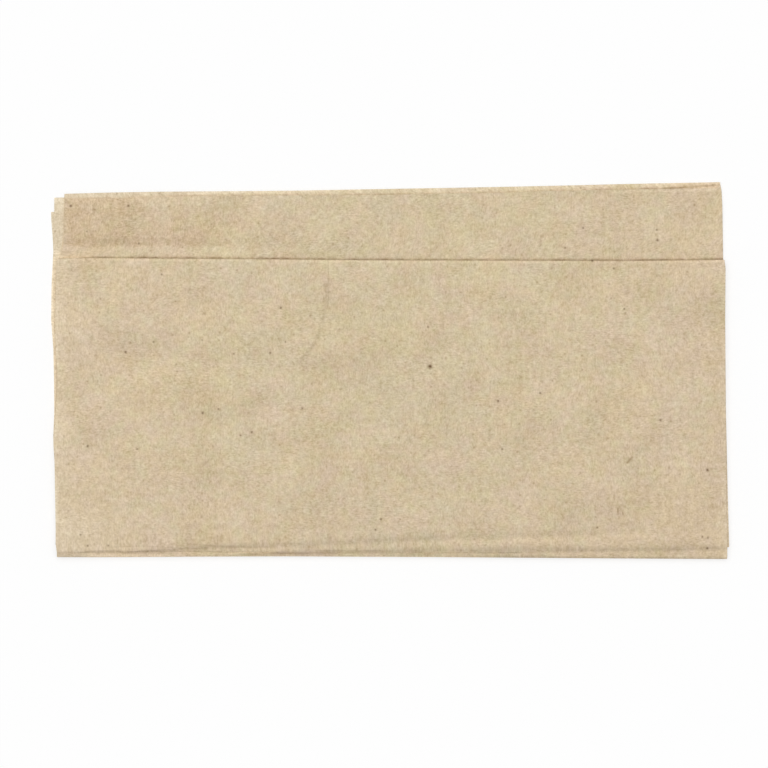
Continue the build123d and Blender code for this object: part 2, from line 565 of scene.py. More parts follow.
# How far under the front fold the strip's relief takes over from the front leaf's, and the
# least and most by which the pile is pressed or swollen
RELIEF_CHANGE = (1.4 * MM, 0.3 * MM)
SWELLING_RANGE = (-0.5, 0.3)


def wave_height(waves, pixel_x, pixel_y):
    """Sum of sines of the place, each of them swayed by a slower sine."""
    total = 0.0
    for height, across, down, start, sway, sway_across, sway_down in waves:
        swayed = sway * np.sin(sway_across * pixel_x + sway_down * pixel_y)
        total = total + height * np.sin(across * pixel_x + down * pixel_y + start + swayed)
    return total


def front_relief(pixel_x, pixel_y):
    """Height of the front leaf's hollows and bulges, in millimetres.

    Low sines over the whole leaf, a bell-shaped hollow that wanders off the lip to the right
    and gets shallow, and a broad one where the curved crease ends.
    """
    away = pixel_y - value_at(LIP_HOLLOW, pixel_x)
    depth = ease(pixel_x, *LIP_HOLLOW_DEPTH) * ease(pixel_x, *LIP_HOLLOW_START)
    hollow = depth * bell(away, ease(pixel_x, *LIP_HOLLOW_WIDTH))
    away = pixel_y - value_at(BROAD_HOLLOW, pixel_x)
    depth = BROAD_HOLLOW_DEPTH * ease(pixel_x, *BROAD_HOLLOW_START) * ease(pixel_x, *BROAD_HOLLOW_END)
    broad = depth * bell(away, BROAD_HOLLOW_WIDTH)
    return wave_height(FRONT_WAVES, pixel_x, pixel_y) - hollow - broad


def strip_relief(pixel_x, pixel_y):
    """Height of the strip's hollow and its waves, in millimetres.

    The hollow falls off from its lowest line as an exponential, slowly to the raw edge and
    fast to the front fold, and is deep on the left alone.
    """
    up = value_at(STRIP_HOLLOW, pixel_x) - pixel_y
    to_edge = np.exp(-np.clip(up, 0, None) / FALL_TO_EDGE)
    to_fold = np.exp(np.clip(up, None, 0) / FALL_TO_FOLD)
    hollow = ease(pixel_x, *STRIP_HOLLOW_DEPTH) * np.where(up > 0, to_edge, to_fold)
    return wave_height(STRIP_WAVES, pixel_x, pixel_y) * ease(up, *STRIP_WAVES_START) - hollow


def swelling(section, run, x, y):
    """Share by which the whole pile is swollen or pressed at each place."""
    place = to_photo(x, y)
    leaf_top = section.pitch / 2 + section.thickness / 2
    front = front_relief(*place) * MM / (section.level(3) + leaf_top)
    strip = strip_relief(*place) * MM / (section.level(1) + leaf_top)
    start, end = (section.front_fold - under for under in RELIEF_CHANGE)
    on_strip = np.where(run <= 1, smooth_step(start, end, y), 0.0)
    return np.clip(front + (strip - front) * on_strip, *SWELLING_RANGE)


def leaves_under(x, y, leaf):
    """How many leaves lie on each other at a place, up to and with the given leaf."""
    count = np.zeros(x.shape)
    for number, left_edge in LEFT_EDGES.items():
        covers = x >= along_y(left_edge, y)
        if number in BACK_EDGES:
            covers &= y <= along_x(BACK_EDGES[number], x)
        else:
            covers &= y <= along_x(FRONT_FOLD, x)
        count += covers & (number <= leaf)
    return np.clip(count, 1, None)


def mesh_object(name, points, quads):
    """A new mesh object with its place in its mesh."""
    mesh = bpy.data.meshes.new(name)
    mesh.from_pydata(points.reshape(-1, 3), [], quads)
    mesh.validate()
    made = bpy.data.objects.new(name, mesh)
    bpy.context.scene.collection.objects.link(made)
    return made


def grid_quads(rows, columns):
    """Corner numbers of the quads of a grid, row by row."""
    first = (np.arange(rows - 1)[:, None] * columns + np.arange(columns - 1)[None, :]).ravel()
    return np.stack([first, first + columns, first + columns + 1, first + 1], axis=1)


def add_field(mesh, name, values):
    """Gives each vertex a number that the material reads."""
    field = mesh.attributes.new(name, "FLOAT", "POINT")
    field.data.foreach_set("value", values.ravel().astype(np.float32))


# Soft bands of painted light and shade on the front leaf and on the strip, where the lip, the
# groove, the hollows and the folds turn to or from the light. A band's points are the pixel
# across and down, the half width in pixels, and the brightness that it adds
FRONT_LIGHT_AND_SHADE = (
    (
        (140, 550.5, 2.0, -0.05), (190, 547, 2.2, -0.12), (230, 545.5, 2.6, -0.12),
        (320, 544, 4.5, -0.10), (380, 540.5, 5.0, -0.12), (440, 536, 5.0, -0.09),
        (560, 533, 5.0, -0.06), (700, 528, 5.0, 0.0),
    ),
    (
        (400, 545, 3.0, 0.0), (440, 542.5, 3.0, 0.03), (500, 541, 3.5, 0.06),
        (560, 539.5, 3.5, 0.06), (620, 536, 3.5, 0.07), (700, 533, 3.5, 0.06),
    ),
    (
        (300, 551, 3.0, -0.03), (380, 550.5, 3.5, -0.10), (440, 550, 3.5, -0.11),
        (500, 549.5, 3.5, -0.12), (560, 548.7, 3.5, -0.12), (620, 549.3, 3.5, -0.11),
        (724, 547.0, 3.5, -0.10),
    ),
    (
        (84, 557, 2.0, 0.20), (110, 557, 2.0, 0.36), (160, 557, 2.0, 0.40),
        (200, 556.6, 2.0, 0.30), (240, 556.4, 2.0, 0.15), (300, 556.2, 2.0, 0.22),
        (440, 556.5, 2.0, 0.20), (500, 557, 2.0, 0.0),
    ),
    (
        (54, 554.3, 1.4, -0.19), (78, 554.3, 1.4, -0.17), (86, 554.0, 1.4, -0.03),
        (110, 553.3, 1.4, -0.05), (160, 552.8, 1.4, -0.12), (190, 553.0, 1.4, 0.02),
        (235, 554.0, 1.4, -0.05), (300, 554.0, 1.4, -0.20), (345, 554.2, 1.4, -0.12),
        (440, 554.6, 1.4, -0.06), (500, 555.5, 1.4, -0.06), (560, 556.5, 1.4, 0.0),
    ),
    (
        (215, 552.6, 1.2, 0.0), (235, 552.4, 1.2, 0.14), (268, 552.2, 1.2, 0.12),
        (285, 550.6, 1.2, -0.08), (330, 550.6, 1.2, -0.08), (350, 550.6, 1.2, 0.0),
    ),
    (
        (95, 438, 10.0, 0.0), (170, 427, 12.0, -0.04), (210, 417, 13.0, -0.05),
        (250, 407, 13.0, -0.06), (285, 390, 12.0, 0.0),
    ),
    ((280, 374, 9.0, 0.0), (322, 364, 11.0, -0.07), (356, 360, 12.0, -0.07), (410, 356, 12.0, 0.0)),
    (
        (60, 432, 8.0, 0.03), (95, 405, 8.0, 0.05), (125, 380, 8.0, 0.05),
        (165, 372, 8.0, 0.05), (215, 378, 8.0, 0.05), (255, 390, 8.0, 0.0),
    ),
    ((480, 268, 4.0, 0.02), (557, 305, 5.0, 0.06), (617, 331, 5.0, 0.05), (700, 360, 6.0, 0.0)),
    ((60, 345, 9.0, -0.05), (120, 343, 10.0, -0.05), (190, 349, 10.0, -0.03), (260, 358, 10.0, 0.0)),
    ((600, 292, 14.0, 0.0), (680, 300, 16.0, -0.03), (722, 312, 16.0, -0.05)),
)
STRIP_LIGHT_AND_SHADE = (
    ((56, 257.5, 1.8, 0.12), (76, 257.5, 1.8, 0.10), (96, 257.0, 1.8, 0.0)),
    ((600, 192.5, 1.3, 0.0), (640, 191.2, 1.3, 0.08), (717, 189.6, 1.3, 0.10)),
    ((62, 240.5, 4.0, -0.05), (180, 241, 4.0, -0.08), (250, 241.5, 4.0, -0.05), (330, 242, 4.0, 0.0)),
    ((66, 198.5, 4.5, 0.10), (130, 198, 4.5, 0.06), (210, 199, 4.5, 0.0)),
)

# Painted light on the stretch below the strip's hollow, where it rises to the front fold, and
# the slow change of the whole napkin: brightness from one pixel to another
LIT_RISE_DOWN = ((246.5, 0), (249, 0.03))
LIT_RISE_ACROSS = ((200, 1), (330, 0))
SLOW_ACROSS = ((80, 0.022), (420, 0))
SLOW_DOWN = ((300, 0), (520, -0.02))

# Brightness of the narrow margin that shows behind the strip, by pixels across, and of the
# slivers of the two lowest leaves on the left, by pixels down
BESIDE_STRIP = (
    (60, 0.03), (120, 0.04), (200, 0.06), (240, 0.18), (300, 0.15), (380, 0.11), (620, 0.17),
    (660, 0.21), (721, 0.20),
)
LEFT_SLIVERS = (
    (211, 0.04), (216, -0.05), (245, -0.05), (262, 0.14), (330, 0.14), (420, 0.10), (450, 0),
)

# Shadow on the slivers beside the strip's raw left edge: pixel across, half width, and
# strength by pixels down
SLIVER_SHADOW_PLACE = 65
SLIVER_SHADOW_WIDTH = 5
SLIVER_SHADOW = ((235, 0.12), (262, 0))

# How dark the painted shadow is in the seam under the front fold and along the strip's raw
# edge, and how bright the painted highlight on the front fold's own edge is, by pixels across
SEAM_SHADOW_DEPTH = (
    (56, 0), (76, 0.05), (98, 0.55), (140, 0.75), (190, 0.6), (260, 0.65), (420, 0.55),
    (520, 0.5), (640, 0.6), (724, 0.6),
)
EDGE_SHADOW_DEPTH = (
    (60, 0.1), (180, 0.1), (240, 0.3), (285, 0.35), (320, 0.1), (380, 0.5), (440, 0.1),
    (500, 0.3), (590, 0.1), (640, 0.5), (660, 0.6), (712, 0.75), (721, 0.3),
)
RIM_HIGHLIGHT = ((60, 0.03), (110, 0.08), (560, 0.09), (630, 0.05), (680, 0.08))

# How many leaves make the pile's thinness fall to about a third
THIN_LEAVES = 0.9

# Light that comes in through the margins at the left and the right: pixel across, which way
# is inwards, strength, and the pixels over which it falls off
LIT_MARGINS = ((54, 1, 0.42, 14), (725.5, -1, 0.35, 2.5))

# Painted light that comes in at the lower left corner: strength, and pixel and half width
# across and down
LIT_CORNER = 0.30
LIT_CORNER_ACROSS = (85, 40)
LIT_CORNER_DOWN = (535, 28)

# Thinness of the margin behind the strip, as a share, up to this pixel across
MARGIN_THINNESS = 0.55
MARGIN_END = 660

# Patch of painted shade, with a browner tone, on the strip above its hollow: how it starts and
# ends across and ends down, how its share changes across, and how that change fades out down.
# Then the same for the warmer tone of the lowest slivers
WARM_START = ((62, 0), (70, 1))
WARM_END = ((170, 1), (310, 0))
WARM_FOOT = ((245.2, 1), (248.2, 0))
WARM_UPPER = ((120, 1), (160, 0.35))
WARM_LOWER = ((205, 0), (228, 1))
WARM_SLIVERS = ((208, 0), (216, 0.6))

# Pinker pulp at both sides, from a middle pixel by the square of a distance, and at the bottom
PINK_MIDDLE = 390
PINK_REACH = 330
PINK_SIDES = 0.24
PINK_DOWN = ((400, -0.06), (540, 0.06))


def band_light_and_shade(pixel_x, pixel_y, band):
    """Painted light of a soft band, shade where negative: a bell across its line, ending at its last
    points.
    """
    across, down, widths, strengths = np.array(band).T
    width = np.interp(pixel_x, across, widths)
    strength = np.interp(pixel_x, across, strengths, left=0.0, right=0.0)
    return strength * bell(pixel_y - np.interp(pixel_x, across, down), width)


class PaperFields:
    """What the material needs to know of the pile at each vertex. Each name is a method."""

    names = ("thinness_and_light", "shown", "strip_shade_and_warmth", "pinkness", "brightness", "seam", "rim_highlight", "seam_shadow")

    def __init__(self, section, x, y, z, leaf):
        self.x, self.y, self.leaf = x, y, leaf
        self.pixel_x, self.pixel_y = to_photo(x, y)
        self.is_under_nose = (leaf == FRONT_LEAF) & (z < section.level(UNDER_NOSE))

    def thinness_and_light(self):
        """1 where one leaf lies alone: an exponential of the number of leaves under each other.

        It grows again towards the raw left edges and the upright fold, as exponentials of the
        distance, and by a bell at the lower corner: painted light, because light comes in there.
        """
        lone = np.exp(-(leaves_under(self.x, self.y, self.leaf) - 1) / THIN_LEAVES)
        (across, width), (down, height) = LIT_CORNER_ACROSS, LIT_CORNER_DOWN
        light = LIT_CORNER * bell(self.pixel_x - across, width) * bell(self.pixel_y - down, height)
        for edge, inwards, strength, reach in LIT_MARGINS:
            light += strength * np.exp(-np.clip(inwards * (self.pixel_x - edge), 0, None) / reach)
        is_on_strip = (self.leaf == MARGIN_LEAF) | (self.leaf == STRIP_LEAF)
        is_margin = (self.leaf == MARGIN_LEAF) & (self.pixel_x < MARGIN_END)
        thinness_and_light = lone + np.where(is_on_strip, 0.0, light)
        return np.clip(np.where(is_margin, MARGIN_THINNESS * lone, thinness_and_light), 0, 1)

    def shown(self):
        """1 on the two leaves that face up."""
        return ((self.leaf == STRIP_LEAF) | (self.leaf == FRONT_LEAF)).astype(float)

    def strip_shade_and_warmth(self):
        """1 on a smooth patch of the strip with painted shade and a browner tone, and a share of it on
        the two lowest leaves as a warmer tone.
        """
        patch = ease(self.pixel_x, *WARM_START) * ease(self.pixel_x, *WARM_END)
        upper = ease(self.pixel_x, *WARM_UPPER)
        share = upper + (1 - upper) * ease(self.pixel_y, *WARM_LOWER)
        on_strip = ease(self.pixel_y, *WARM_FOOT) * patch * share
        strip_shade_and_warmth = np.where(self.leaf == STRIP_LEAF, on_strip, 0.0)
        return np.where(self.leaf <= SLIVER_LEAF, ease(self.pixel_y, *WARM_SLIVERS), strip_shade_and_warmth)

    def pinkness(self):
        """Grows with the square of the distance from the middle, and towards the bottom."""
        side = ((self.pixel_x - PINK_MIDDLE) / PINK_REACH) ** 2
        return PINK_SIDES * side + ease(self.pixel_y, *PINK_DOWN)

    def brightness(self):
        """A slow change over the whole, plus the soft bands and stretches of each leaf: painted light
        and shade of its folds, lip and hollows, a painted shadow on the slivers, and their tones.
        """
        place = self.pixel_x, self.pixel_y
        on_front = sum(band_light_and_shade(*place, band) for band in FRONT_LIGHT_AND_SHADE)
        on_strip = sum(band_light_and_shade(*place, band) for band in STRIP_LIGHT_AND_SHADE)
        on_strip += ease(self.pixel_y, *LIT_RISE_DOWN) * ease(self.pixel_x, *LIT_RISE_ACROSS)
        shadow = bell(self.pixel_x - SLIVER_SHADOW_PLACE, SLIVER_SHADOW_WIDTH)
        on_slivers = value_at(LEFT_SLIVERS, self.pixel_y) - shadow * ease(self.pixel_y, *SLIVER_SHADOW)
        beside_strip = value_at(BESIDE_STRIP, self.pixel_x)
        shares = (
            (self.leaf >= FRONT_LEAF - 1, on_front),
            (self.leaf == STRIP_LEAF, on_strip),
            (self.leaf == MARGIN_LEAF, beside_strip),
            (self.leaf <= SLIVER_LEAF, on_slivers),
        )
        on_leaf = np.select(*zip(*shares))
        return on_leaf + ease(self.pixel_x, *SLOW_ACROSS) + ease(self.pixel_y, *SLOW_DOWN)

    def seam(self):
        """Millimetres from the front fold, or from the strip's raw edge on the leaf under it."""
        lines = BACK_EDGES[STRIP_LEAF], FRONT_FOLD
        raw_edge, fold = ((self.y - along_x(line, self.x)) / MM for line in lines)
        return np.where(self.leaf == MARGIN_LEAF, raw_edge, fold)

    def rim_highlight(self):
        """How bright the painted highlight on the front fold's own upper edge is."""
        is_rim = (self.leaf == FRONT_LEAF) & ~self.is_under_nose
        return np.where(is_rim, value_at(RIM_HIGHLIGHT, self.pixel_x), 0.0)

    def seam_shadow(self):
        """How dark the painted shadow is in the seam under the front fold and at the strip's raw edge.
        """
        is_at_fold = (self.leaf == STRIP_LEAF) | self.is_under_nose
        at_fold = np.where(is_at_fold, value_at(SEAM_SHADOW_DEPTH, self.pixel_x), 0.0)
        return np.where(self.leaf == MARGIN_LEAF, value_at(EDGE_SHADOW_DEPTH, self.pixel_x), at_fold)


def mark_raw_edges(mesh, rows, columns):
    """Keeps the shading of the paper's flat sides and of its raw edges apart."""
    ends = np.empty(2 * len(mesh.edges), dtype=np.int32)
    mesh.edges.foreach_get("vertices", ends)
    row, column = np.divmod(ends.reshape(-1, 2), columns)
    raw = np.zeros(len(mesh.edges), dtype=bool)
    for place, last in ((row, rows - 1), (column, columns - 1)):
        raw |= (place == 0).all(axis=1) | (place == last).all(axis=1)
    mesh.attributes.new("sharp_edge", "BOOLEAN", "EDGE").data.foreach_set("value", raw)


def make_sheet(sizes):
    """The whole sheet, folded, with its relief, its flat map and its fields.

    Each point's height above the lowest leaf's middle is multiplied by 1 plus the swelling of
    the pile at its place.
    """
    section = FoldedSection(sizes)
    x, y, z, is_outer = sheet_grid(section)
    rows, columns = x.shape
    run = np.repeat(section.runs[:, None], columns, axis=1)
    leaf = np.where(is_outer, OUTER_LEAF[run], INNER_LEAF[run])
    lowest = sizes.paper_thickness / 2
    z = lowest + (z - lowest) * (1 + sizes.relief * swelling(section, run, x, y))

    points = np.stack([x, y, z], axis=-1)
    sheet = mesh_object("folded_sheet", points, grid_quads(rows, columns))
    mesh = sheet.data

    steps = np.hypot(np.diff(x), np.diff(z))
    flat_x = np.concatenate([np.zeros((rows, 1)), np.cumsum(steps, axis=1)], axis=1)
    flat_y = np.repeat(section.lengths[:, None], columns, axis=1)
    corners = np.empty(len(mesh.loops), dtype=np.int32)
    mesh.loops.foreach_get("vertex_index", corners)
    flat = np.stack([flat_x.ravel()[corners], flat_y.ravel()[corners]], axis=1)
    mesh.uv_layers.new(name="sheet").data.foreach_set("uv", flat.ravel())
    fields = PaperFields(section, x, y, z, leaf)
    for name in fields.names:
        add_field(mesh, name, getattr(fields, name)())

    mesh.shade_smooth()
    mark_raw_edges(mesh, rows, columns)
    thick = sheet.modifiers.new("thickness", "SOLIDIFY")
    thick.thickness = sizes.paper_thickness
    thick.offset = 0.0
    return sheet


class Value:
    """A socket of a node tree. An expression on it adds Math nodes."""

    def __init__(self, tree, socket):
        self.tree = tree
        self.socket = socket

    def __add__(self, other):
        return self.tree.maths("ADD", self, other)

    def __radd__(self, other):
        return self.tree.maths("ADD", other, self)

    def __sub__(self, other):
        return self.tree.maths("SUBTRACT", self, other)

    def __rsub__(self, other):
        return self.tree.maths("SUBTRACT", other, self)

    def __mul__(self, other):
        return self.tree.maths("MULTIPLY", self, other)

    def __rmul__(self, other):
        return self.tree.maths("MULTIPLY", other, self)

    def __truediv__(self, other):
        return self.tree.maths("DIVIDE", self, other)

    def larger(self, other):
        """The larger of the two."""
        return self.tree.maths("MAXIMUM", self, other)

    def smaller(self, other):
        """The smaller of the two."""
        return self.tree.maths("MINIMUM", self, other)

    def bell(self, width):
        """A Gauss bell: 1 where the value is 0, and about a third at width."""
        share = self / width
        return self.tree.maths("EXPONENT", share * share * -1.0)


class Tree:
    """Node tree of a material or a world, and the one way in which a node is added to it."""

    def __init__(self, owner):
        owner.use_nodes = True
        self.nodes = owner.node_tree.nodes
        self.links = owner.node_tree.links
        self.nodes.clear()

    def make(self, kind, settings=None, sockets=None, out=0):
        """Adds a node: its settings are set first, then its sockets' values or links."""
        node = self.nodes.new(kind)
        for name, value in (settings or {}).items():
            setattr(node, name, value)
        for name, value in (sockets or {}).items():
            if isinstance(value, Value):
                self.links.new(value.socket, node.inputs[name])
            else:
                node.inputs[name].default_value = value
        return Value(self, node.outputs[out]) if node.outputs else None

    def maths(self, operation, *values):
        """Adds a Math node on one or two values."""
        return self.make("ShaderNodeMath", {"operation": operation}, dict(enumerate(values)))

    def vector(self, operation, first, second, out="Vector"):
        """Adds a Vector Math node."""
        return self.make("ShaderNodeVectorMath", {"operation": operation}, {0: first, 1: second}, out)

    def mix(self, factor, first, second, blend="MIX"):
        """A colour between two others."""
        settings = {"data_type": "RGBA", "blend_type": blend}
        sockets = {"Factor": factor, "A": first, "B": second}
        return self.make("ShaderNodeMix", settings, sockets, "Result")

    def noise(self, place, scale, detail, roughness=0.5):
        """Soft noise, 0 in the middle."""
        sockets = {"Vector": place, "Scale": scale, "Detail": detail, "Roughness": roughness}
        settings = {"noise_dimensions": "2D"}
        return self.make("ShaderNodeTexNoise", settings, sockets) - 0.5

    def step(self, value, low, high):
        """0 below low and 1 above high, with a smooth rise between them."""
        settings = {"interpolation_type": "SMOOTHSTEP"}
        sockets = {"Value": value, "From Min": low, "From Max": high}
        return self.make("ShaderNodeMapRange", settings, sockets)

    def field(self, name):
        """A number that the mesh stores at each vertex."""
        return self.make("ShaderNodeAttribute", {"attribute_name": name}, out="Fac")

    def in_sight(self):
        """1 for what the camera sees, straight, off metal or through glass, and else 0."""
        names = ("Is Camera Ray", "Is Glossy Ray", "Is Transmission Ray")
        straight, mirrored, through = (self.make("ShaderNodeLightPath", out=name) for name in names)
        return straight.larger(mirrored).larger(through)


WHITE = (1.0, 1.0, 1.0, 1.0)


def opaque(colour):
    """A colour with full alpha."""
    return (*colour, 1.0)


# Noises of the pulp: waves for each millimetre, detail, and roughness where it isn't the usual
GRAIN = (1.9, 1.0, 0.7)
LUMPS = (0.75, 1.5, 0.6)
CLOUDS = (0.10, 2.0, 0.6)
STROKES = (1.0, 1.0, 0.6)
TAKING_TURNS = (0.09, 1.0)
PINK = (0.26, 2.0, 0.6)
SLOW_PINK = (0.08, 1.0)
YELLOW = (0.30, 2.0, 0.6)
SLOW_YELLOW = (0.07, 1.0)
UNEVENNESS = (0.30, 2.0, 0.7)

# Stretch of the level and the upright strokes, the share of the upright ones, and the noise
# between which they take turns
LEVEL_STRETCH = (0.95, 3.0, 1.0)
UPRIGHT_STRETCH = (2.8, 0.9, 1.0)
UPRIGHT_SHARE = 0.8
TURN_RANGE = (-0.12, 0.12)

# Shares of the grain, the lumps, the strokes and the clouds in the light and dark, and of the
# first three in the bumps
SHADE_SHARES = (0.38, 0.40, 0.43, 0.26)
BUMP_SHARES = (1.0, 0.8, 0.8)

# Shares of the quick and the slow noise in the pink and in the yellow blotches, how far the
# yellow ones lie from the pink ones in the noise, and the noise over which both come in
PINK_SHARES = (1.2, 0.55)
YELLOW_SHARES = (0.66, 0.45)
YELLOW_SHIFT = (311.0, 173.0, 0.0)
BLOTCH_RANGE = (-0.3, 0.3)

# Brown flecks: their usual distance and half width in millimetres, how much of the paper the
# faintest hides, and how much more the strongest does
FLECK_SPACING = 3.7
FLECK_WIDTH = 0.25
FLECK_SHARE = (0.11, 0.46)

# Painted shadow line of a seam and painted highlight line of the front fold: millimetres past
# the fold, and half width. Then how uneven the painted shade of the seams and creases is, and
# how much stronger the pulp's light and dark is on the strip's painted shade and warm slivers
SEAM_SHADOW_LINE = (0.12, 0.36)
RIM_HIGHLIGHT_LINE = (-0.45, 0.28)
UNEVEN_GAIN = 2.6
WARM_GAIN = 0.2

# Finish of the paper
PAPER_ROUGHNESS = 0.92
PAPER_GLOSS = 0.15

# Specks of the pulp that stand out in the photograph: pixel across and down, and radius in
# millimetres
SPECKS = (
    (430, 366.5, 0.40), (71, 206, 0.26), (128.5, 206, 0.24), (139, 243.5, 0.20),
    (87, 231.5, 0.16), (218.7, 409, 0.18), (302.4, 408.3, 0.20), (240.7, 435.4, 0.18),
    (234, 353.8, 0.18), (270.3, 353, 0.20), (285.5, 342, 0.16), (153.7, 342, 0.18),
    (202.4, 340, 0.15), (137.5, 449, 0.18), (108.6, 545.5, 0.18), (162, 274.5, 0.18),
    (81, 534.5, 0.18), (88, 545.5, 0.20), (281, 308, 0.24), (203, 413, 0.24),
    (252, 432, 0.20), (498, 401, 0.24), (540, 393, 0.22), (624, 309, 0.20),
    (583, 228, 0.22), (656.7, 230, 0.20), (657.2, 240.3, 0.24), (565, 248, 0.20),
    (613.5, 268.5, 0.22), (603, 209.5, 0.14), (597, 527.5, 0.20), (702, 536.5, 0.18),
    (707.5, 537.5, 0.18), (375.5, 529.5, 0.20), (660, 420, 0.22), (502, 449, 0.20),
    (707, 470, 0.26), (707, 548, 0.26), (381, 519, 0.22), (126, 352, 0.24),
    (428, 327, 0.20), (592, 261, 0.22), (88, 446, 0.24),
)

# How far a speck's soft edge spreads, as a share of its radius, and how much of the paper
# under it a speck hides: least, most, and gain for each millimetre of its radius
SPECK_SPREAD = 1.3
SPECK_SHARE = (0.2, 0.92)
SPECK_SHARE_GAIN = 2.2

# Brown fibres that stand out in the photograph: both ends as pixels, and half the width in
# millimetres. Then how much of the paper they hide
FIBRES = (
    ((627.0, 462.5), (631.5, 457.5), 0.30),
    ((617.6, 508.0), (617.8, 514.0), 0.20),
    ((622.4, 512.5), (622.6, 514.5), 0.20),
)
FIBRE_SHARE = 0.6

# Share of a crease's length over which it fades at each end
CREASE_FADE = 0.12


class Crease:
    """A fine crease along a smooth line, with its width and height in millimetres.

    The line is a polynomial through given pixels, of x if the crease is level and else
    of y. Shade is the painted shade that darkens the paper in it, or, where it is below zero,
    the painted highlight that lightens it.
    """

    def __init__(self, pixels, width, height, shade, degree=2, is_level=True):
        knots = np.array([from_photo(*pixel) for pixel in pixels]) / MM
        if not is_level:
            knots = knots[:, ::-1]
        self.is_level = is_level
        self.factors = [float(factor) for factor in np.polyfit(knots[:, 0], knots[:, 1], degree)]
        self.start = float(knots[:, 0].min())
        self.end = float(knots[:, 0].max())
        self.width, self.height, self.shade = width, height, shade

    def profile(self, tree, x, y):
        """1 on the line: a bell across it that fades at both ends."""
        along, aside = (x, y) if self.is_level else (y, x)
        line = self.factors[0]
        for factor in self.factors[1:]:
            line = along * line + factor
        fade = CREASE_FADE * (self.end - self.start)
        begun = tree.step(along, self.start, self.start + fade)
        ended = tree.step(along, self.end - fade, self.end)
        return (aside - line).bell(self.width) * begun * (1 - ended)


# Fine creases; each shade is painted shade, or a painted highlight where it is below zero
CREASES = (
    Crease(
        ((327.8, 276), (326.4, 294), (324.5, 312), (319, 332), (308, 352), (290, 370)),
        0.66, 0.05, 0.20, degree=3, is_level=False,
    ),
    Crease(((328.2, 256), (328.7, 275), (328.3, 304)), 0.17, -0.03, 0.18, 1, is_level=False),
    Crease(((380, 478), (380.5, 500), (380, 520)), 0.26, 0.10, -0.09, 1, is_level=False),
    Crease(((80, 552.8), (104, 551), (127, 552.4)), 0.22, -0.08, 0.36),
    Crease(((122, 552.6), (150, 551.3), (176, 549.2), (214, 547.7)), 0.25, -0.08, 0.26),
    Crease(((104, 548), (143, 546.2), (174, 548)), 0.18, -0.05, 0.16),
    Crease(((179, 543), (222, 546.5), (282, 546.5)), 0.26, -0.06, 0.20),
    Crease(((236, 554.2), (290, 553.6), (345, 553.8)), 0.24, -0.06, 0.30),
    Crease(((300, 549.5), (345, 551.0), (392, 550.4)), 0.22, -0.05, 0.16),
    Crease(((560, 231.5), (620, 230.0), (705, 229.0)), 0.30, 0.04, 0.06),
)


def weighted(values, shares):
    """Sum of the values, each times its share."""
    total = values[0] * shares[0]
    for value, share in zip(values[1:], shares[1:]):
        total = total + value * share
    return total


def pulp_shade(tree, flat):
    """Light and dark of the tissue in linear terms, 0 in the middle, and height of its bumps.

    Grains of two to four pixels' size, short level and upright strokes of the crepe that take
    turns over the sheet, and clouds of the pulp.
    """
    grain, lumps, clouds = (tree.noise(flat, *noise) for noise in (GRAIN, LUMPS, CLOUDS))
    level, upright = (
        tree.noise(tree.vector("MULTIPLY", flat, stretch), *STROKES)
        for stretch in (LEVEL_STRETCH, UPRIGHT_STRETCH)
    )
    turns = tree.step(tree.noise(flat, *TAKING_TURNS), *TURN_RANGE)
    strokes = level * turns + upright * (1 - turns) * UPRIGHT_SHARE
    shade = weighted((grain, lumps, strokes, clouds), SHADE_SHARES)
    return shade, weighted((grain, lumps, strokes), BUMP_SHARES)


def pulp_colour(tree, flat, look):
    """Colour of the tissue, with pinkish and yellowish blotches."""
    pink = weighted((tree.noise(flat, *PINK), tree.noise(flat, *SLOW_PINK)), PINK_SHARES)
    pink = pink + tree.field("pinkness")
    moved = tree.vector("ADD", flat, YELLOW_SHIFT)
    yellow = weighted((tree.noise(moved, *YELLOW), tree.noise(moved, *SLOW_YELLOW)), YELLOW_SHARES)
    colour = tree.mix(tree.step(pink, *BLOTCH_RANGE), opaque(look.paper), opaque(look.pink_pulp))
    return tree.mix(tree.step(yellow, *BLOTCH_RANGE), colour, opaque(look.yellow_pulp), "MULTIPLY")


def fleck_cover(tree, flat):
    """How much of the pulp's brown flecks covers each place of the flat sheet.

    A bell sits in each cell of a Voronoi pattern, and its strength grows with the cube of the
    cell's chance, so that few are strong.
    """
    settings = {"voronoi_dimensions": "2D", "feature": "F1"}
    sockets = {"Vector": flat, "Scale": 1 / FLECK_SPACING, "Randomness": 1.0}
    away, colour = (
        tree.make("ShaderNodeTexVoronoi", settings, sockets, out) for out in ("Distance", "Color")
    )
    chance = tree.make("ShaderNodeSeparateColor", None, {0: colour})
    least, more = FLECK_SHARE
    share = least + chance * chance * chance * more
    return (away * FLECK_SPACING).bell(FLECK_WIDTH) * share


def speck_cover(tree, place):
    """How much of the photograph's dark specks covers each place of the leaves that face up."""
    level_place = tree.vector("MULTIPLY", place, (1.0, 1.0, 0.0))
    cover = 0.0
    least, most = SPECK_SHARE
    for across, down, radius in SPECKS:
        spot = (*from_photo(across, down), 0.0)
        away = tree.vector("DISTANCE", level_place, spot, out="Value")
        share = min(most, least + SPECK_SHARE_GAIN * radius)
        cover = (away.bell(SPECK_SPREAD * radius * MM) * share).larger(cover)
    return cover * tree.field("shown")


def fibre_cover(tree, x, y):
    """How much of the brown fibres covers each place: a bell of the distance to its line."""
    cover = 0.0
    for start, end, width in FIBRES:
        start, end = from_photo(*start) / MM, from_photo(*end) / MM
        length = float(np.hypot(*(end - start)))
        way_x, way_y = (float(value) for value in (end - start) / length)
        from_x, from_y = x - float(start[0]), y - float(start[1])
        along = from_x * way_x + from_y * way_y
        aside = from_x * way_y - from_y * way_x
        beyond = (along * -1.0).larger(along - length).larger(0.0)
        away = tree.maths("SQRT", aside * aside + beyond * beyond)
        cover = away.bell(width) + cover
    return cover * tree.field("shown") * FIBRE_SHARE


def line_profile(tree, middle, width):
    """A bell across a line that lies at middle, by the distance to the seam."""
    return (tree.field("seam") - middle).bell(width)


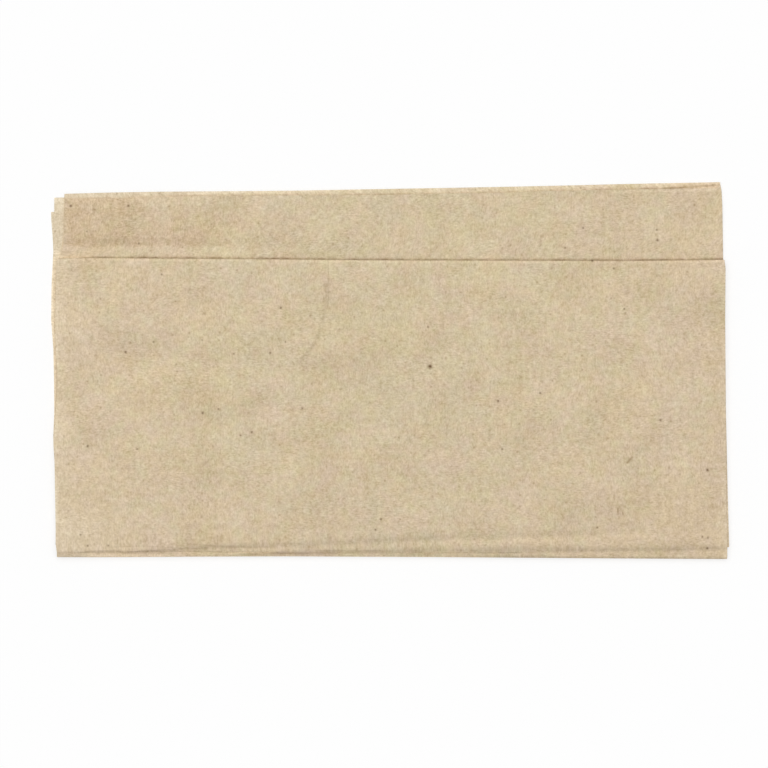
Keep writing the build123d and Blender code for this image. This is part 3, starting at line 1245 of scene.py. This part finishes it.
def paper_material(look):
    """Creped tissue of recycled pulp, with its specks, creases, seams and thin places, and painted light
    and shade on its folds, seams, creases and hollows.
    """
    material = bpy.data.materials.new("creped_tissue")
    tree = Tree(material)
    per_millimetre = (1 / MM,) * 3
    flat = tree.vector("MULTIPLY", tree.make("ShaderNodeUVMap", {"uv_map": "sheet"}), per_millimetre)
    place = tree.make("ShaderNodeTexCoord", out="Object")
    millimetres = tree.vector("MULTIPLY", place, per_millimetre)
    x, y = (tree.make("ShaderNodeSeparateXYZ", None, {0: millimetres}, axis) for axis in "XY")

    shade, height = pulp_shade(tree, flat)
    height = height * look.bump
    shade = shade * look.texture * (1 + tree.field("strip_shade_and_warmth") * WARM_GAIN)
    # Painted light and shade of each leaf, and the painted highlight on the front fold's edge
    brightness = 1 + tree.field("brightness") + line_profile(tree, *RIM_HIGHLIGHT_LINE) * tree.field("rim_highlight")
    # Painted shadow in the seam under the front fold and along the strip's raw edge
    shadow = line_profile(tree, *SEAM_SHADOW_LINE) * tree.field("seam_shadow")
    for crease in CREASES:
        profile = crease.profile(tree, x, y)
        height = height + profile * (crease.height * MM)
        # Painted shade in the crease, or a painted highlight where its shade is below zero
        if crease.shade > 0:
            shadow = shadow + profile * crease.shade
        if crease.shade < 0:
            brightness = brightness - profile * crease.shade
    unevenness = 1 + tree.noise(millimetres, *UNEVENNESS) * UNEVEN_GAIN
    shadow = (shadow * unevenness).smaller(1.0)

    colour = pulp_colour(tree, flat, look)
    # Painted shade with a browner tone on the strip, a warmer tone on the lowest slivers
    colour = tree.mix(tree.field("strip_shade_and_warmth"), colour, opaque(look.shade_and_warm_tone), "MULTIPLY")
    # Thin paper's show-through, and painted light at the margins and the lower left corner
    colour = tree.mix(tree.field("thinness_and_light"), colour, opaque(look.thin_paper))
    parts = [(1 + shade * gain) * brightness for gain in look.texture_gain]
    pattern = tree.make("ShaderNodeCombineColor", None, dict(enumerate(parts)))
    colour = tree.mix(1.0, colour, pattern, "MULTIPLY")
    colour = tree.mix(shadow, colour, opaque(look.shadow_tone), "MULTIPLY")
    brown = fibre_cover(tree, x, y).larger(fleck_cover(tree, flat))
    colour = tree.mix(brown, colour, opaque(look.fibre))
    colour = tree.mix(speck_cover(tree, place), colour, opaque(look.speck))

    bump = tree.make("ShaderNodeBump", None, {"Strength": 1.0, "Distance": 1.0, "Height": height})
    paper = {
        "Base Color": colour,
        "Roughness": PAPER_ROUGHNESS,
        "Specular IOR Level": PAPER_GLOSS,
        "Normal": bump,
    }
    surface = tree.make("ShaderNodeBsdfPrincipled", None, paper)
    tree.make("ShaderNodeOutputMaterial", None, {"Surface": surface})
    return material


def floor_material(look):
    """Plain pale floor. The camera sees it whiter than it is lit, with lighter shadows."""
    material = bpy.data.materials.new("pale_floor")
    tree = Tree(material)
    sockets = {"Base Color": opaque(look.floor), "Roughness": 1.0, "Specular IOR Level": 0.0}
    lit = tree.make("ShaderNodeBsdfPrincipled", None, sockets)
    white = tree.make("ShaderNodeEmission", None, {"Color": WHITE, "Strength": 1.0})
    share = tree.in_sight() * look.floor_whiteness
    surface = tree.make("ShaderNodeMixShader", None, {0: share, 1: lit, 2: white})
    tree.make("ShaderNodeOutputMaterial", None, {"Surface": surface})
    return material


def studio_world(look):
    """Even light all round, which is plain white wherever it is in sight."""
    world = bpy.data.worlds.new("studio")
    tree = Tree(world)
    even = tree.make("ShaderNodeBackground", None, {"Color": WHITE, "Strength": look.fill})
    white = tree.make("ShaderNodeBackground", None, {"Color": WHITE, "Strength": 1.0})
    choice = tree.make("ShaderNodeMixShader", None, {0: tree.in_sight(), 1: even, 2: white})
    tree.make("ShaderNodeOutputWorld", None, {"Surface": choice})
    return world


class NAPKIN_OT_make_sheet(Operator):
    """Make the folded sheet of tissue in place of its plain solid"""

    bl_idname = "napkin.make_sheet"
    bl_label = "Make folded sheet"

    def execute(self, context):
        scene = context.scene
        sheet = make_sheet(scene.napkin_sheet)
        sheet.data.materials.append(paper_material(scene.napkin_paper))
        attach(sheet, "root")
        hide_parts(NODE)
        return {"FINISHED"}


# How far the floor lies under the napkin, and from where the key light shines on it
FLOOR_GAP = 0.02 * MM
KEY_PLACE = (-0.10, 0.28, 1.12)

# Side of the camera's sensor in millimetres, and how far it sees
SENSOR_SIDE = 36.0
SIGHT = 50.0


class NAPKIN_OT_make_stage(Operator):
    """Make the floor, the lights and the camera"""

    bl_idname = "napkin.make_stage"
    bl_label = "Make stage"

    def execute(self, context):
        look = context.scene.napkin_stage
        self.make_floor(look)
        self.make_lights(context.scene, look)
        self.make_camera(context.scene, look)
        return {"FINISHED"}

    def make_floor(self, look):
        """A square floor, a hair under the napkin."""
        half = look.floor_side / 2
        sides = np.array([(-half, -half), (half, -half), (half, half), (-half, half)])
        corners = np.column_stack([sides, np.full(len(sides), -FLOOR_GAP)])
        floor = mesh_object("floor", corners, np.array([[0, 1, 2, 3]]))
        floor.data.materials.append(floor_material(look))

    def make_lights(self, scene, look):
        """A soft light from above, a little from the upper left, and even light all round."""
        lamp = bpy.data.lights.new("key", "SUN")
        lamp.angle = look.key_softness
        lamp.energy = look.key_strength
        key = bpy.data.objects.new("key", lamp)
        key.location = KEY_PLACE
        key.rotation_euler = (-key.location).to_track_quat("-Z", "Y").to_euler()
        scene.collection.objects.link(key)
        scene.world = studio_world(look)

    def make_camera(self, scene, look):
        """A long lens straight above, so that the frame's middle is the photograph's."""
        camera = bpy.data.cameras.new("camera")
        camera.lens = look.lens
        camera.sensor_width = SENSOR_SIDE
        camera.clip_end = SIGHT
        above = bpy.data.objects.new("camera", camera)
        distance = IMAGE_SIDE * PIXEL * camera.lens / camera.sensor_width
        centre = from_photo(IMAGE_SIDE / 2, IMAGE_SIDE / 2)
        above.location = (*centre, distance)
        scene.collection.objects.link(above)
        scene.camera = above
        scene.view_settings.view_transform = "Standard"


class NAPKIN_PT_panel(Panel):
    """Lists the napkin's pieces and sizes"""

    bl_idname = "NAPKIN_PT_panel"
    bl_label = "Paper napkin"
    bl_space_type = "VIEW_3D"
    bl_region_type = "UI"
    bl_category = "Napkin"

    def draw(self, context):
        scene = context.scene
        for operator in (NAPKIN_OT_make_sheet, NAPKIN_OT_make_stage):
            self.layout.operator(operator.bl_idname)
        for group in (scene.napkin_sheet, scene.napkin_paper, scene.napkin_stage):
            box = self.layout.box()
            for name in group.__annotations__:
                box.prop(group, name)


CLASSES = (
    NapkinSheetSizes,
    NapkinPaperLook,
    NapkinStageLook,
    NAPKIN_OT_make_sheet,
    NAPKIN_OT_make_stage,
    NAPKIN_PT_panel,
)


def register():
    for item in CLASSES:
        bpy.utils.register_class(item)
    bpy.types.Scene.napkin_sheet = PointerProperty(type=NapkinSheetSizes)
    bpy.types.Scene.napkin_paper = PointerProperty(type=NapkinPaperLook)
    bpy.types.Scene.napkin_stage = PointerProperty(type=NapkinStageLook)


def unregister():
    del bpy.types.Scene.napkin_stage
    del bpy.types.Scene.napkin_paper
    del bpy.types.Scene.napkin_sheet
    for item in reversed(CLASSES):
        bpy.utils.unregister_class(item)


def main():
    register()
    bpy.ops.napkin.make_sheet()
    bpy.ops.napkin.make_stage()


if __name__ == "__main__":
    main()
